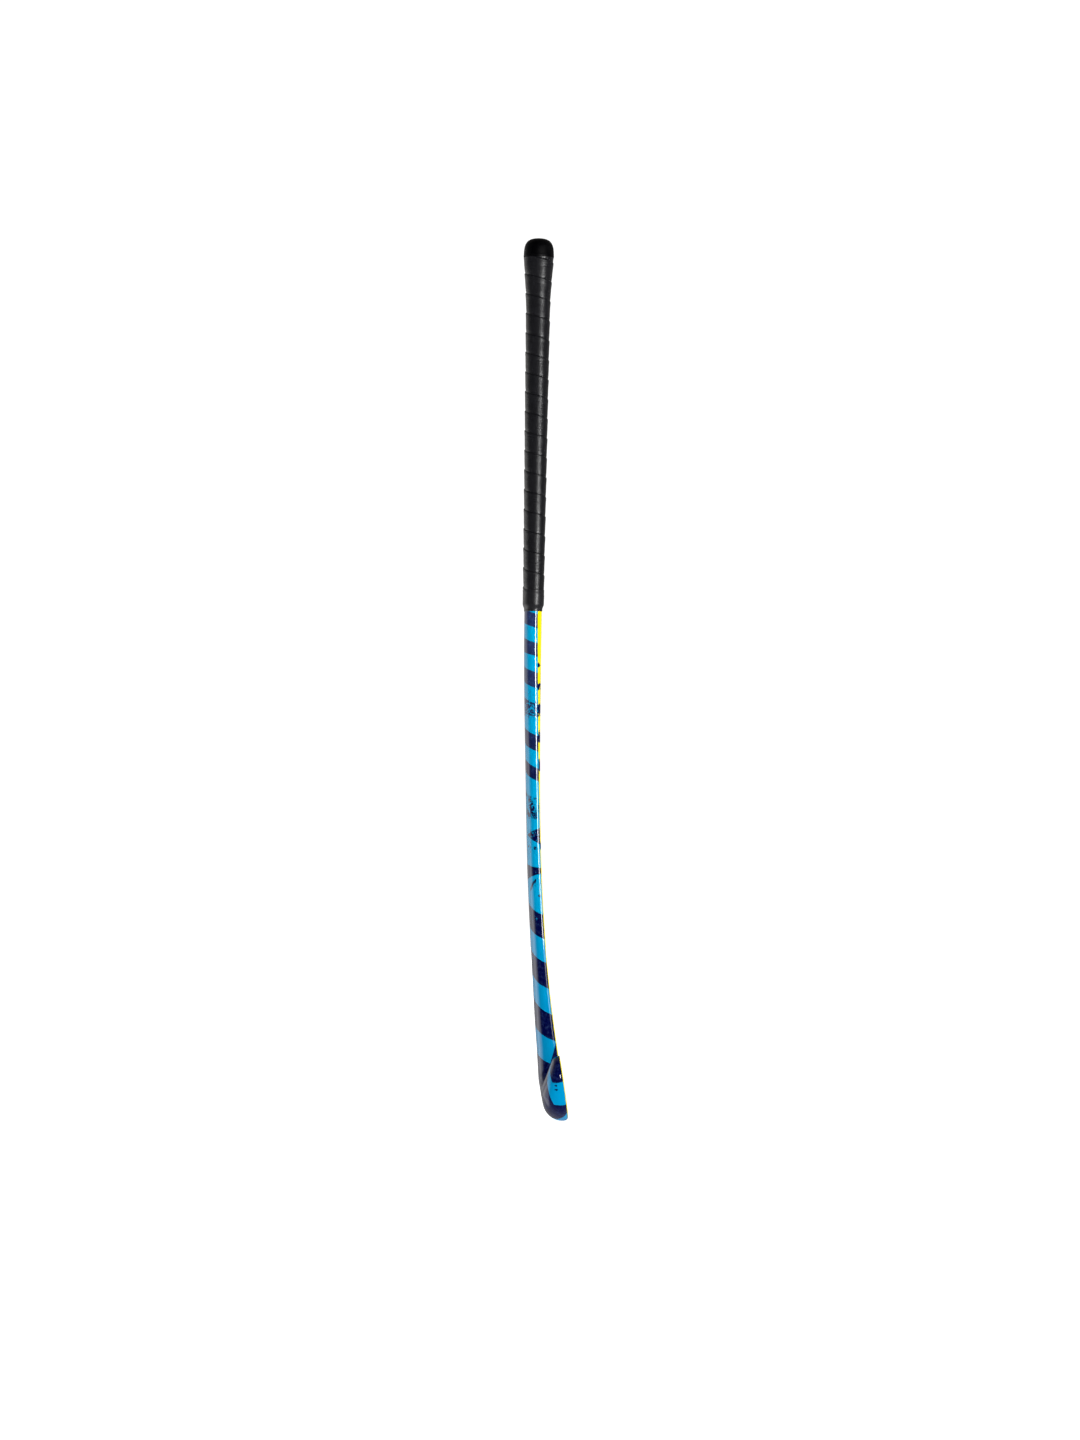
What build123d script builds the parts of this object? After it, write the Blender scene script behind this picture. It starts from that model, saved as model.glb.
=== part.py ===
from build123d import *
import os
from math import atan, cos, pi, radians, sin, sqrt

# Field hockey stick, senior size, in millimetres.
# The origin is the centre of the butt cap's round band. +Z runs along the handle towards the
# butt, +X is the way the flat playing face looks where it leaves the handle, and the toe of
# the hook points to -Y. "down" below is a distance from the top of the butt cap.

# Overall layout
BAND_TOP = 11.5  # where the cap's round band starts, below its domed top
BAND_END = 20.5  # where it ends and the grip begins
HANDLE_END = 388.0  # lower end of the grip
BOW_START = 436.0  # the shaft is straight above this
BOW_END = 850.0  # the head and its flat face start here
BOW_RISE = 23.0  # how far the face has bowed out at BOW_END
FACE_OFFSET = 9.1  # face of the straight shaft, from the handle's axis

# Hook
NECK_LENGTH = 23.0  # straight part below BOW_END
HOOK_RADIUS = 33.0  # centre line of the bend
TOE_STRAIGHT = 17.0  # straight part of the toe after the half turn
TIP_LENGTH = 24.0  # the part of the toe whose sides round off
TIP_TURN = radians(80.0)  # of the quarter ellipse that the tip follows
TIP_ROUND = 3.0  # the tip's back rounds over in this last stretch
TAPER_LENGTH = 36.0  # the toe thins over this length
TAPER_POWER = 1.2
TIP_DEPTH = 6.5  # thickness where the thinning ends
HOOK_SECTIONS = 10
TIP_SECTIONS = 5
HEEL_HALF_WIDTH = 22.0
TOE_HALF_WIDTH = 20.5
HEAD_DEPTH = 24.4
DEPTH_RAMP = 34.0  # the shaft thickens to the head's depth over this length
HEAD_CORNER = 4.0

# Layers, as distances in from the outer surface
DECAL = 0.3
LAMINATE = 1.5
SLEEVE = 2.3
BORE = 3.3
WEB = 0.8  # each tube's share of the centre web
WRAP = 1.5  # grip wrap
CUSHION = 1.8  # grip wrap and its underlay
TAPE = 0.25  # finishing tape over the wrap
CORE_TIP_GAP = 3.0  # solid aramid at the toe, beyond the foam

# Where layers start and end, as distances down
CAP_INSIDE = 3.5
LAMINATE_TOP = 8.5
PLUG_END = 42.0
FOAM_END = 345.0
TAPE_START = 371.0
TAPE_END = 394.0
TAPE_TURN = 3.0  # it bends inwards this far above the end of the grip
TAPE_LANDING = 2.0  # and lies on the shaft over this last stretch
DECAL_START = 390.0
SLEEVE_JOINT = 780.0
TUBE_END = 830.0
CORE_TOP = 796.0
BELOW_ALL = 1200.0  # lower than anything

# Butt cap
CAP_RADIUS = 16.1
CAP_CORNER = BAND_TOP
CAP_WALL = 2.1
HANDLE_TOP_ROUND = 8.0  # edge of the handle's end inside the cap

# Playing face
FACE_SPARE = 0.15  # stock on the head's face before it is trimmed flat
TRIM_START = 3.0  # the trim starts this far below BOW_END
EDGE_TOP = 4.6  # the face decal reaches this far round the corner down to EDGE_HIGH
EDGE_HEAD = 1.0  # and this far from EDGE_LOW on
EDGE_HIGH = 400.0
EDGE_LOW = 600.0
EDGE_POINTS = (356.0, EDGE_HIGH, BOW_START, 490.0, 545.0, EDGE_LOW, 680.0, 760.0, BOW_END)

# Every section
MIN_CORNER = 1.0  # no face corner is sharper than this
CORNER_OF_DEPTH = 0.45  # nor rounder than this share of the depth
CORNER_OF_WIDTH = 0.9  # and this share of the half width
FAR = 400.0  # size of the blocks that cut pieces apart

# Shaft sections, evenly spaced so that the surface through them stays smooth:
# half width, depth from face to back, corner radius of the face
SHAFT_STEP = 60.0
SHAFT = [
    (12.0, 17.0, 7.5),
    (12.0, 17.0, 7.5),
    (12.0, 17.0, 7.5),
    (12.1, 17.0, 7.5),
    (12.4, 17.1, 7.6),
    (12.9, 17.4, 7.7),
    (13.7, 17.9, 7.8),
    (14.8, 18.4, 8.2),
    (16.3, 18.1, 8.2),
    (18.0, 16.9, 6.4),
    (19.5, 15.4, 4.9),
    (20.8, 14.7, 4.0),
    (21.9, 14.8, 3.4),
    (22.7, 15.3, 3.2),
    (23.2, 17.3, 3.4),
    (23.5, 21.2, HEAD_CORNER),
]

# Outside of the grip: half width, depth, corner radius
GRIP_BUTT = (16.1, 32.2, 15.6)
GRIP_TOP = (14.6, 25.3, 11.2)
GRIP_BOTTOM = (17.0, 21.7, 9.8)
FLARE_END = 78.0  # the flare towards the butt is above this
FLARE_POWER = 1.6
GRIP_SECTIONS = 22


def height(down):
    """Z of a point this far below the top of the butt cap."""
    return (BAND_TOP + BAND_END) / 2 - down


def save(shape, node):
    shape.label = node
    export_step(shape, f"parts/{node}.step")


# ---- sections and the line that they follow ----


def outline(size, inset=0.0, spare=0.0):
    """A flat face at y = spare - inset, two rounded corners and a half-elliptic back."""
    half_width, depth, corner = size
    corner = min(max(corner, MIN_CORNER), CORNER_OF_DEPTH * depth, CORNER_OF_WIDTH * half_width)
    flat = half_width - corner
    level = spare - inset
    middle = level - corner
    face = Line((-flat, level), (flat, level))
    heel_corner = CenterArc((flat, middle), corner, 90, -90)
    back = EllipticalCenterArc(
        (0, middle), half_width, depth + spare - corner, start_angle=0, arc_size=-180
    )
    toe_corner = CenterArc((-flat, middle), corner, 180, -90)
    return Wire([face, heel_corner, back, toe_corner])


def bow(down):
    """How far the face has moved out, from 0 at BOW_START to BOW_RISE at BOW_END."""
    share = max(0.0, (down - BOW_START) / (BOW_END - BOW_START))
    return BOW_RISE * share**3


def bow_angle(down):
    share = max(0.0, (down - BOW_START) / (BOW_END - BOW_START))
    return atan(3 * BOW_RISE * share**2 / (BOW_END - BOW_START))


HEAD_ANGLE = bow_angle(BOW_END)
HEAD_DOWN = Vector(sin(HEAD_ANGLE), 0, -cos(HEAD_ANGLE))
HEAD_OUT = Vector(cos(HEAD_ANGLE), 0, sin(HEAD_ANGLE))
HEAD_TOE = Vector(0, -1, 0)
HEAD_START = Vector(FACE_OFFSET + BOW_RISE, 0, height(BOW_END))
HEAD_LENGTH = NECK_LENGTH + pi * HOOK_RADIUS + TOE_STRAIGHT


def shaft_plane(down, depth):
    """The section plane at a place on the shaft, with its origin on the face line."""
    angle = bow_angle(down)
    face = depth / 2 if down < HANDLE_END else FACE_OFFSET + bow(down)
    return Plane((face, 0, height(down)), x_dir=(0, 1, 0), z_dir=(sin(angle), 0, -cos(angle)))


def shaft_sections(inset):
    sections = []
    for index, (half_width, depth, corner) in enumerate(SHAFT):
        down = BOW_END - SHAFT_STEP * (len(SHAFT) - 1 - index)
        size = (half_width - inset, depth - 2 * inset, corner - inset)
        sections.append(shaft_plane(down, depth) * outline(size, inset))
    return sections


def head_point(along, across):
    """A point on the face plane, from the head's start: down the shaft, towards the toe."""
    return HEAD_START + HEAD_DOWN * along + HEAD_TOE * across


def head_plane(travel):
    """The section plane after this much travel along the hook's centre line."""
    turned = min(max((travel - NECK_LENGTH) / HOOK_RADIUS, 0.0), pi)
    before = min(travel, NECK_LENGTH)
    after = max(travel - NECK_LENGTH - pi * HOOK_RADIUS, 0.0)
    along = before + HOOK_RADIUS * sin(turned) - after
    across = HOOK_RADIUS * (1 - cos(turned))
    forward = HEAD_DOWN * cos(turned) + HEAD_TOE * sin(turned)
    return Plane(head_point(along, across), x_dir=HEAD_OUT.cross(forward), z_dir=forward)


def ramp(start, end, share):
    return start + (end - start) * min(max(share, 0.0), 1.0)


def head_depth(travel):
    """Thickness of the head: it grows down the neck and thins towards the toe's tip."""
    full = ramp(SHAFT[-1][1], HEAD_DEPTH, travel / DEPTH_RAMP)
    thinned = max(0.0, (travel - HEAD_LENGTH + TAPER_LENGTH) / TAPER_LENGTH)
    return full - (HEAD_DEPTH - TIP_DEPTH) * thinned**TAPER_POWER


def hook_sections(inset, spare):
    """Sections of the neck and the bend, up to where the toe's sides start to round off."""
    length = HEAD_LENGTH - TIP_LENGTH
    sections = []
    for index in range(1, HOOK_SECTIONS + 1):
        travel = length * index / HOOK_SECTIONS
        half_width = ramp(SHAFT[-1][0], HEEL_HALF_WIDTH, travel / NECK_LENGTH)
        half_width = ramp(half_width, TOE_HALF_WIDTH, (travel - NECK_LENGTH) / (length - NECK_LENGTH))
        size = (half_width - inset, head_depth(travel) - 2 * inset, HEAD_CORNER - inset)
        sections.append(head_plane(travel) * outline(size, inset, spare))
    return sections


def tip_sections(inset, tip_gap, spare):
    """Sections of the toe's tip, closing like a quarter of an ellipse."""
    sections = []
    round_start = 1 - TIP_ROUND / TIP_LENGTH
    for index in range(1, TIP_SECTIONS + 1):
        turn = TIP_TURN * index / TIP_SECTIONS
        share = sin(turn)
        travel = HEAD_LENGTH - TIP_LENGTH + TIP_LENGTH * share
        rounded = sqrt(1 - (max(0.0, share - round_start) / (1 - round_start)) ** 2)
        size = (
            (TOE_HALF_WIDTH - inset) * cos(turn),
            (head_depth(travel) - 2 * inset) * rounded,
            HEAD_CORNER - inset,
        )
        reach = travel - (inset + tip_gap) * share
        sections.append(head_plane(reach) * outline(size, inset, spare))
    return sections


def shaft_body(inset):
    """The shaft from the butt to the head, this far in from its surface."""
    return Solid.make_loft(shaft_sections(inset))


def body(inset, tip_gap=0.0, spare=0.0):
    """The whole stick without its handle build-up, this far in from its surface."""
    hook = hook_sections(inset, spare)
    bend = Solid.make_loft([shaft_sections(inset)[-1]] + hook)
    tip = Solid.make_loft([hook[-1]] + tip_sections(inset, tip_gap, spare))
    return shaft_body(inset) + bend + tip


def grip_size(down):
    """Half width, depth and corner radius of the grip at a distance down."""
    share = (down - FLARE_END) / (HANDLE_END - FLARE_END)
    flare = max(0.0, (FLARE_END - down) / (FLARE_END - BAND_END)) ** FLARE_POWER
    sizes = []
    for butt, top, bottom in zip(GRIP_BUTT, GRIP_TOP, GRIP_BOTTOM):
        sizes.append(ramp(top, bottom, share) + (butt - top) * flare)
    return sizes


def grip_section(down, size, inset):
    half_width, depth, corner = size
    plane = Plane((depth / 2, 0, height(down)), x_dir=(0, 1, 0), z_dir=(0, 0, -1))
    return plane * outline((half_width - inset, depth - 2 * inset, corner - inset), inset)


def handle(inset):
    """The outside of the grip, this far in from its surface."""
    sections = []
    for index in range(GRIP_SECTIONS):
        down = BAND_END + (HANDLE_END - BAND_END) * index / (GRIP_SECTIONS - 1)
        sections.append(grip_section(down, grip_size(down), inset))
    return Solid.make_loft(sections)


def slab(top, bottom):
    """A block that holds everything between two distances down."""
    middle = (height(top) + height(bottom)) / 2
    return Pos(0, 0, middle) * Box(FAR, FAR, bottom - top)


def side(toe):
    """A block on one side of the stick's middle plane."""
    return Pos(0, (-1 if toe else 1) * FAR / 2, -FAR) * Box(FAR, FAR, 4 * FAR)


def in_front_of_head():
    """The block that trims the head's face to one true plane."""
    middle = head_point(TRIM_START + FAR / 2, 0) + HEAD_OUT * FAR / 2
    plane = Plane(middle, x_dir=HEAD_OUT, z_dir=HEAD_DOWN)
    return plane * Box(FAR, FAR, FAR)


def face_side():
    """Everything in front of the line where the back decal meets the face decal."""
    points = []
    for down in EDGE_POINTS:
        edge = ramp(EDGE_TOP, EDGE_HEAD, (down - EDGE_HIGH) / (EDGE_LOW - EDGE_HIGH))
        points.append((FACE_OFFSET + bow(down) - edge / cos(bow_angle(down)), height(down)))
    low = head_point(FAR / 2, 0) - HEAD_OUT * EDGE_HEAD
    line = Spline(*points)
    straight = Line(points[-1], (low.X, low.Z))
    rest = Polyline((low.X, low.Z), (FAR / 2, low.Z), (FAR / 2, points[0][1]), points[0])
    region = make_face(Wire([line, straight, *rest.edges()]))
    return extrude(Plane.XZ * region, amount=FAR / 2, both=True)


# ---- the pieces ----


def make_butt_cap(inside):
    """Rubber cap: a domed top and a round band, hollow to sit over the handle."""
    top = height(0)
    shoulder = CAP_RADIUS - CAP_CORNER
    corner_centre = (shoulder, height(CAP_CORNER))
    profile = Wire(
        [
            Line((0, height(BAND_END)), (0, top)),
            Line((0, top), (shoulder, top)),
            CenterArc(corner_centre, CAP_CORNER, 90, -90),
            Line((CAP_RADIUS, height(CAP_CORNER)), (CAP_RADIUS, height(BAND_END))),
            Line((CAP_RADIUS, height(BAND_END)), (0, height(BAND_END))),
        ]
    )
    cap = revolve(Plane.XZ * make_face(profile), Axis.Z)
    return cap - inside


def handle_top():
    """The round end of the handle, inside the butt cap."""
    length = BAND_END - CAP_INSIDE
    block = Pos(0, 0, height(CAP_INSIDE + length / 2)) * Cylinder(CAP_RADIUS - CAP_WALL, length)
    return fillet(block.faces().sort_by(Axis.Z)[-1].edges(), HANDLE_TOP_ROUND)


def web():
    """Room for the centre web, where the two tubes meet."""
    return Pos(0, 0, -FAR) * Box(FAR, 2 * WEB, 4 * FAR)


def make_butt_plug(end, bore):
    """Flange that closes the laminate, with a tongue into each tube."""
    tongues = bore & slab(LAMINATE_TOP, PLUG_END)
    return (end & slab(0, LAMINATE_TOP)) + (tongues - web())


def make_tube(outer, bore, toe):
    """One of the twin tubes: its half of the shaft, closed by its wall of the centre web."""
    half = outer & slab(LAMINATE_TOP, TUBE_END) & side(toe)
    return half - (bore - web())


def make_head_core(outer, bore):
    """Foam in the hook, with a tongue up into each tube."""
    core = outer & slab(TUBE_END, BELOW_ALL)
    tongues = (bore & slab(CORE_TOP, TUBE_END)) - web()
    return core + tongues


def make_finishing_tape(wrap, stick):
    """Thin band over the end of the wrap and onto the shaft."""
    shaft = [(above + below) / 2 for above, below in zip(SHAFT[7], SHAFT[8])]
    turn_in = HANDLE_END - TAPE_TURN
    stations = [
        (TAPE_START, grip_size(TAPE_START), TAPE),
        (turn_in, grip_size(turn_in), TAPE),
        (HANDLE_END, grip_size(HANDLE_END), TAPE / 2),
        (TAPE_END - TAPE_LANDING, shaft, 2 * TAPE),
        (TAPE_END, shaft, TAPE),
    ]
    sections = [grip_section(down, size, -proud) for down, size, proud in stations]
    return Solid.make_loft(sections, ruled=True) - wrap - stick


def main():
    os.makedirs("parts", exist_ok=True)
    stick = body(0.0)
    trimmed = body(0.0, spare=FACE_SPARE) - in_front_of_head()
    under_decal = body(DECAL)
    under_laminate = body(LAMINATE)
    foam_room = body(SLEEVE, tip_gap=CORE_TIP_GAP)
    under_sleeve = shaft_body(SLEEVE)
    bore = shaft_body(BORE)

    # Handle, from the outside in
    end = handle_top()
    wrap = handle(0.0)
    under_wrap = handle(WRAP)
    foam = (handle(CUSHION) & slab(BAND_END, FOAM_END)) + (end & slab(LAMINATE_TOP, BAND_END))
    save(make_butt_cap(end), "butt_cap")
    save(make_butt_plug(end, bore), "butt_plug")
    save(wrap - under_wrap, "grip_wrap")
    save(under_wrap - foam - stick, "grip_underlay")
    save(make_finishing_tape(wrap, stick), "finishing_tape")
    save(foam - stick, "handle_foam")

    # Skins of the shaft and head
    skin = (trimmed & slab(DECAL_START, BELOW_ALL)) - under_decal
    front = face_side()
    save(skin & front, "face_decal")
    save(skin - front, "back_decal")

    # Laminate and its layers
    upper = stick & slab(LAMINATE_TOP, DECAL_START)
    lower = under_decal & slab(DECAL_START, BELOW_ALL)
    save(upper + lower - under_laminate, "outer_laminate")
    shaft_sleeve = shaft_body(LAMINATE) - under_sleeve
    save(shaft_sleeve & slab(LAMINATE_TOP, SLEEVE_JOINT), "shaft_carbon_sleeve")
    save((under_laminate - foam_room) & slab(SLEEVE_JOINT, BELOW_ALL), "head_aramid_sleeve")
    save(make_tube(under_sleeve, bore, toe=True), "toe_side_tube")
    save(make_tube(under_sleeve, bore, toe=False), "heel_side_tube")
    save(make_head_core(foam_room, bore), "head_core")


main()
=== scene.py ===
from functools import reduce
from math import atan, cos, pi, radians, sin, sqrt, tau

import bmesh
import bpy
import numpy as np
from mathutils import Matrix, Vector, noise


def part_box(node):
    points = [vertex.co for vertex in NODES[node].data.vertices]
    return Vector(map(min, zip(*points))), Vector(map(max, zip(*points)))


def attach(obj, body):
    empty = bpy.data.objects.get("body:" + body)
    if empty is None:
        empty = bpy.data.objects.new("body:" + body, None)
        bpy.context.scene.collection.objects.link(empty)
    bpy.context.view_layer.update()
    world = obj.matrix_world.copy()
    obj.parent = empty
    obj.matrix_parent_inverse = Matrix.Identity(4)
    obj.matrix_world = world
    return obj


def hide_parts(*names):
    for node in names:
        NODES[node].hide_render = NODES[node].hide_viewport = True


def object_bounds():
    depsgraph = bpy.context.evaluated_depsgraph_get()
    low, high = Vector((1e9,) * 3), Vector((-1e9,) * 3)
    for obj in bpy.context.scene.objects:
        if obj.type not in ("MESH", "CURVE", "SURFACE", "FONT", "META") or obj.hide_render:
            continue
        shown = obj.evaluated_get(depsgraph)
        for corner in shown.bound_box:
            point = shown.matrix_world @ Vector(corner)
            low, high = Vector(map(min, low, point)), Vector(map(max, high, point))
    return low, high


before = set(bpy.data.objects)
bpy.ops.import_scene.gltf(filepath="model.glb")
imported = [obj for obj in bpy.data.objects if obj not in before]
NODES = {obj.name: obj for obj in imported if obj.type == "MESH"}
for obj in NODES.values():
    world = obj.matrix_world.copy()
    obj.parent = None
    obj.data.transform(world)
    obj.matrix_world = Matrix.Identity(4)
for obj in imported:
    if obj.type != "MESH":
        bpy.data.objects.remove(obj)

# Field hockey stick. Shapes are worked out in millimetres and turned into metres when a mesh
# is made. "down" is a distance from the top of the butt cap. In a section, "across" is
# positive towards the heel side and "out" is the way the flat face looks.

MM = 0.001
BODY = "root"
CAD_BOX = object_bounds()


def down_range(node):
    """Where a CAD node starts and ends, as distances down."""
    low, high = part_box(node)
    return BUTT_TOP - high.z / MM, BUTT_TOP - low.z / MM


# ---- driving dimensions, the same as the CAD's unless a comment says otherwise ----

BUTT_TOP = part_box("butt_cap")[1].z / MM
GRIP_START, GRIP_END = down_range("grip_wrap")
TAPE_START, TAPE_END = down_range("finishing_tape")
SKIN_START = down_range("back_decal")[0]
CAP_END = down_range("butt_cap")[1]

BOW_START = 436.0
BOW_END = 850.0
BOW_RISE = 23.0
FACE_OFFSET = 9.1
NECK_LENGTH = 23.0
HOOK_RADIUS = 33.0
TOE_STRAIGHT = 17.0
TIP_LENGTH = 24.0
TIP_ROUND = 3.0
TAPER_LENGTH = 36.0
TAPER_POWER = 1.2
TIP_DEPTH = 6.5
HEEL_HALF_WIDTH = 22.0
TOE_HALF_WIDTH = 20.5
HEAD_DEPTH = 24.4
DEPTH_RAMP = 34.0
HEAD_CORNER = 4.0
MIN_CORNER = 1.0
EDGE_TOP, EDGE_HEAD = 4.6, 1.0
EDGE_HIGH, EDGE_LOW = 400.0, 600.0
LEAD_START, LEAD_LENGTH = 370.0, 60.0  # where the face line leaves the handle's own axis
SKIN = 0.3
SKIN_GAP = 0.05  # keeps the smooth skins inside the CAD's box
LAMINATE_WALL = 1.6  # below the painted skin: 0.4 more than the CAD's, and hidden

# Shaft sections at even steps down to BOW_END: half width, depth, corner radius
SHAFT_STEP = 60.0
SHAFT = np.array(
    [
        (12.0, 17.0, 7.5),
        (12.0, 17.0, 7.5),
        (12.0, 17.0, 7.5),
        (12.1, 17.0, 7.5),
        (12.4, 17.1, 7.6),
        (12.9, 17.4, 7.7),
        (13.7, 17.9, 7.8),
        (14.8, 18.4, 8.2),
        (16.3, 18.1, 8.2),
        (18.0, 16.9, 6.4),
        (19.5, 15.4, 4.9),
        (20.8, 14.7, 4.0),
        (21.9, 14.8, 3.4),
        (22.7, 15.3, 3.2),
        (23.2, 17.3, 3.4),
        (23.5, 21.2, HEAD_CORNER),
    ]
)
SHAFT_FIRST = BOW_END - SHAFT_STEP * (len(SHAFT) - 1)

# Outside of the grip: half width, depth, corner radius
GRIP_BUTT = np.array((16.1, 32.2, 15.6))
GRIP_TOP = np.array((14.6, 25.3, 11.2))
GRIP_BOTTOM = np.array((17.0, 21.7, 9.8))
FLARE_END = 78.0
FLARE_POWER = 1.6

# The wound strip
PITCH = 20.7
OVERLAP = 4.5
SEAM_AT_BACK = 37.0  # the first seam, where it crosses the back
BASE_INSET = 1.4  # the surface that the strip is wound on
TAIL = 0.06  # the share of its last turn that is cut off
THINNEST, THINNEST_TUCKED = 0.25, 0.2
CAP_TUCK, CAP_TUCK_DEPTH = 9.0, 0.4  # thinned next to the cap
TAPE_TUCK, TAPE_TUCK_HEIGHT = 4.0, 1.25  # pressed flat under the finishing tape
MEAN_RADIUS = 13.5  # turns the strip's angle into a length along it

# The finishing tape
TAPE_PROUD = 0.3
TAPE_INSIDE = 0.4  # how far in from its outside it reaches where it lies on the strip
TAPE_DROP_START = 3.4  # this far above the strip's end, it starts to come down to the shaft
TAPE_LEVEL_SHARE, TAPE_FALL_SHARE = 0.18, 0.62  # of the stretch where it comes down
TAPE_ON_SHAFT = 0.42
TAPE_LIP = 0.3

# How finely the meshes are divided
OUTLINE_STEPS = 48
SKIN_STEP = 2.2
HEAD_ROWS = 92
TIP_ROWS = 28
BACK_COLUMNS = 72
FACE_COLUMNS = 48
LAMINATE_STEP = 6.0
LAMINATE_COLUMNS = 80
STRIP_TURN_STEPS = 96
STRIP_COLUMNS = 26
TAPE_COLUMNS = 120
TAPE_DROP_ROWS = 12
CAP_COLUMNS = 96
CAP_STEPS = 6
TINY = 1e-4  # the least width and depth of the tip's last section

# ---- small helpers ----


def ramp(start, end, share):
    """From start to end as share goes from 0 to 1, and level outside that."""
    return start + (end - start) * min(max(share, 0.0), 1.0)


def smooth(share):
    """0 to 1 with a soft start and a soft end."""
    share = min(max(share, 0.0), 1.0)
    return share * share * (3 - 2 * share)


def srgb(red, green, blue):
    """A colour given as 0 to 255 values, as linear RGBA."""
    parts = []
    for value in (red, green, blue):
        value /= 255
        parts.append(value / 12.92 if value <= 0.04045 else ((value + 0.055) / 1.055) ** 2.4)
    return (*parts, 1.0)


def make_piece(name, points, faces, attributes=None, sharp=40.0):
    """A mesh object from points in millimetres, closed up and with its normals outwards."""
    mesh = bpy.data.meshes.new(name)
    mesh.from_pydata([tuple(p) for p in np.asarray(points) * MM], [], faces)
    for label, values in (attributes or {}).items():
        layer = mesh.attributes.new(label, "FLOAT", "POINT")
        layer.data.foreach_set("value", np.asarray(values, np.float32))
    work = bmesh.new()
    work.from_mesh(mesh)
    bmesh.ops.remove_doubles(work, verts=work.verts, dist=1e-6)
    bmesh.ops.dissolve_degenerate(work, edges=work.edges, dist=1e-7)
    bmesh.ops.recalc_face_normals(work, faces=work.faces)
    work.to_mesh(mesh)
    work.free()
    mesh.shade_smooth()
    mesh.set_sharp_from_angle(angle=radians(sharp))
    piece = bpy.data.objects.new(name, mesh)
    bpy.context.scene.collection.objects.link(piece)
    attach(piece, BODY)
    return piece


def grid_faces(rows, columns, start=0, wrap=False, flip=False):
    """Quads of a grid of points, row by row; wrap joins the last column to the first."""
    faces = []
    for row in range(rows - 1):
        for column in range(columns if wrap else columns - 1):
            following = (column + 1) % columns
            quad = [
                start + row * columns + column,
                start + row * columns + following,
                start + (row + 1) * columns + following,
                start + (row + 1) * columns + column,
            ]
            faces.append(quad[::-1] if flip else quad)
    return faces


def strip_faces(first, second):
    """Quads between two lists of point numbers of the same length."""
    return [[first[i], first[i + 1], second[i + 1], second[i]] for i in range(len(first) - 1)]


# ---- sections and the line that they follow ----


def outline(size, level):
    """Points round a section, from the middle of the face past the heel side and back.

    The flat face is at this level: it has two rounded corners and a half-elliptic back.
    """
    half_width, depth, corner = size
    corner = min(max(corner, MIN_CORNER), 0.45 * depth, 0.9 * half_width)
    flat = half_width - corner
    middle = level - corner
    quarter = np.linspace(pi / 2, 0, OUTLINE_STEPS)
    half = np.linspace(0, -pi, 3 * OUTLINE_STEPS)
    face = np.linspace(0, flat, OUTLINE_STEPS)
    across = np.concatenate(
        [
            face,
            flat + corner * np.cos(quarter)[1:],
            half_width * np.cos(half)[1:],
            (-flat - corner * np.cos(quarter[::-1]))[1:],
            -face[::-1][1:],
        ]
    )
    out = np.concatenate(
        [
            np.full(OUTLINE_STEPS, level),
            middle + corner * np.sin(quarter)[1:],
            middle + (depth - corner) * np.sin(half)[1:],
            middle + corner * np.sin(quarter[::-1])[1:],
            np.full(OUTLINE_STEPS, level)[1:],
        ]
    )
    return across, out


def smooth_through(table, place):
    """A smooth curve through the rows of a table, at a place counted in rows."""
    table = np.asarray(table)
    place = min(max(place, 0.0), len(table) - 1 - 1e-9)
    index = int(place)
    share = place - index
    padded = np.vstack([2 * table[0] - table[1], table, 2 * table[-1] - table[-2]])
    before, here, after, beyond = padded[index : index + 4]
    return (
        (2 * share**3 - 3 * share**2 + 1) * here
        + (share**3 - 2 * share**2 + share) * (after - before) / 2
        + (3 * share**2 - 2 * share**3) * after
        + (share**3 - share**2) * (beyond - here) / 2
    )


def shaft_size(down):
    """Half width, depth and corner radius of the shaft."""
    return smooth_through(SHAFT, (down - SHAFT_FIRST) / SHAFT_STEP)


def bow_share(down):
    """How far along the bow a place is, as a share of the bow's length."""
    return max(0.0, (down - BOW_START) / (BOW_END - BOW_START))


def shaft_frame(down):
    """Origin on the face line, the across direction and the out direction."""
    angle = atan(3 * BOW_RISE * bow_share(down) ** 2 / (BOW_END - BOW_START))
    face = FACE_OFFSET + BOW_RISE * bow_share(down) ** 3
    lead = 1 - smooth((down - LEAD_START) / LEAD_LENGTH)
    face += (shaft_size(down)[1] / 2 - FACE_OFFSET) * lead
    return (
        np.array((face, 0.0, BUTT_TOP - down)),
        np.array((0.0, 1.0, 0.0)),
        np.array((cos(angle), 0.0, sin(angle))),
    )


HEAD_ANGLE = atan(3 * BOW_RISE / (BOW_END - BOW_START))
HEAD_DOWN = np.array((sin(HEAD_ANGLE), 0.0, -cos(HEAD_ANGLE)))
HEAD_OUT = np.array((cos(HEAD_ANGLE), 0.0, sin(HEAD_ANGLE)))
HEAD_TOE = np.array((0.0, -1.0, 0.0))
HEAD_START = np.array((FACE_OFFSET + BOW_RISE, 0.0, BUTT_TOP - BOW_END))
BEND = pi * HOOK_RADIUS
HEAD_LENGTH = NECK_LENGTH + BEND + TOE_STRAIGHT
TIP_START = HEAD_LENGTH - TIP_LENGTH


def head_frame(travel):
    """The same for the head, at a distance of travel along its hook."""
    turned = min(max((travel - NECK_LENGTH) / HOOK_RADIUS, 0.0), pi)
    before = min(travel, NECK_LENGTH)
    after = max(travel - NECK_LENGTH - BEND, 0.0)
    along = before + HOOK_RADIUS * sin(turned) - after
    aside = HOOK_RADIUS * (1 - cos(turned))
    forward = HEAD_DOWN * cos(turned) + HEAD_TOE * sin(turned)
    return HEAD_START + HEAD_DOWN * along + HEAD_TOE * aside, np.cross(HEAD_OUT, forward), HEAD_OUT


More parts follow.
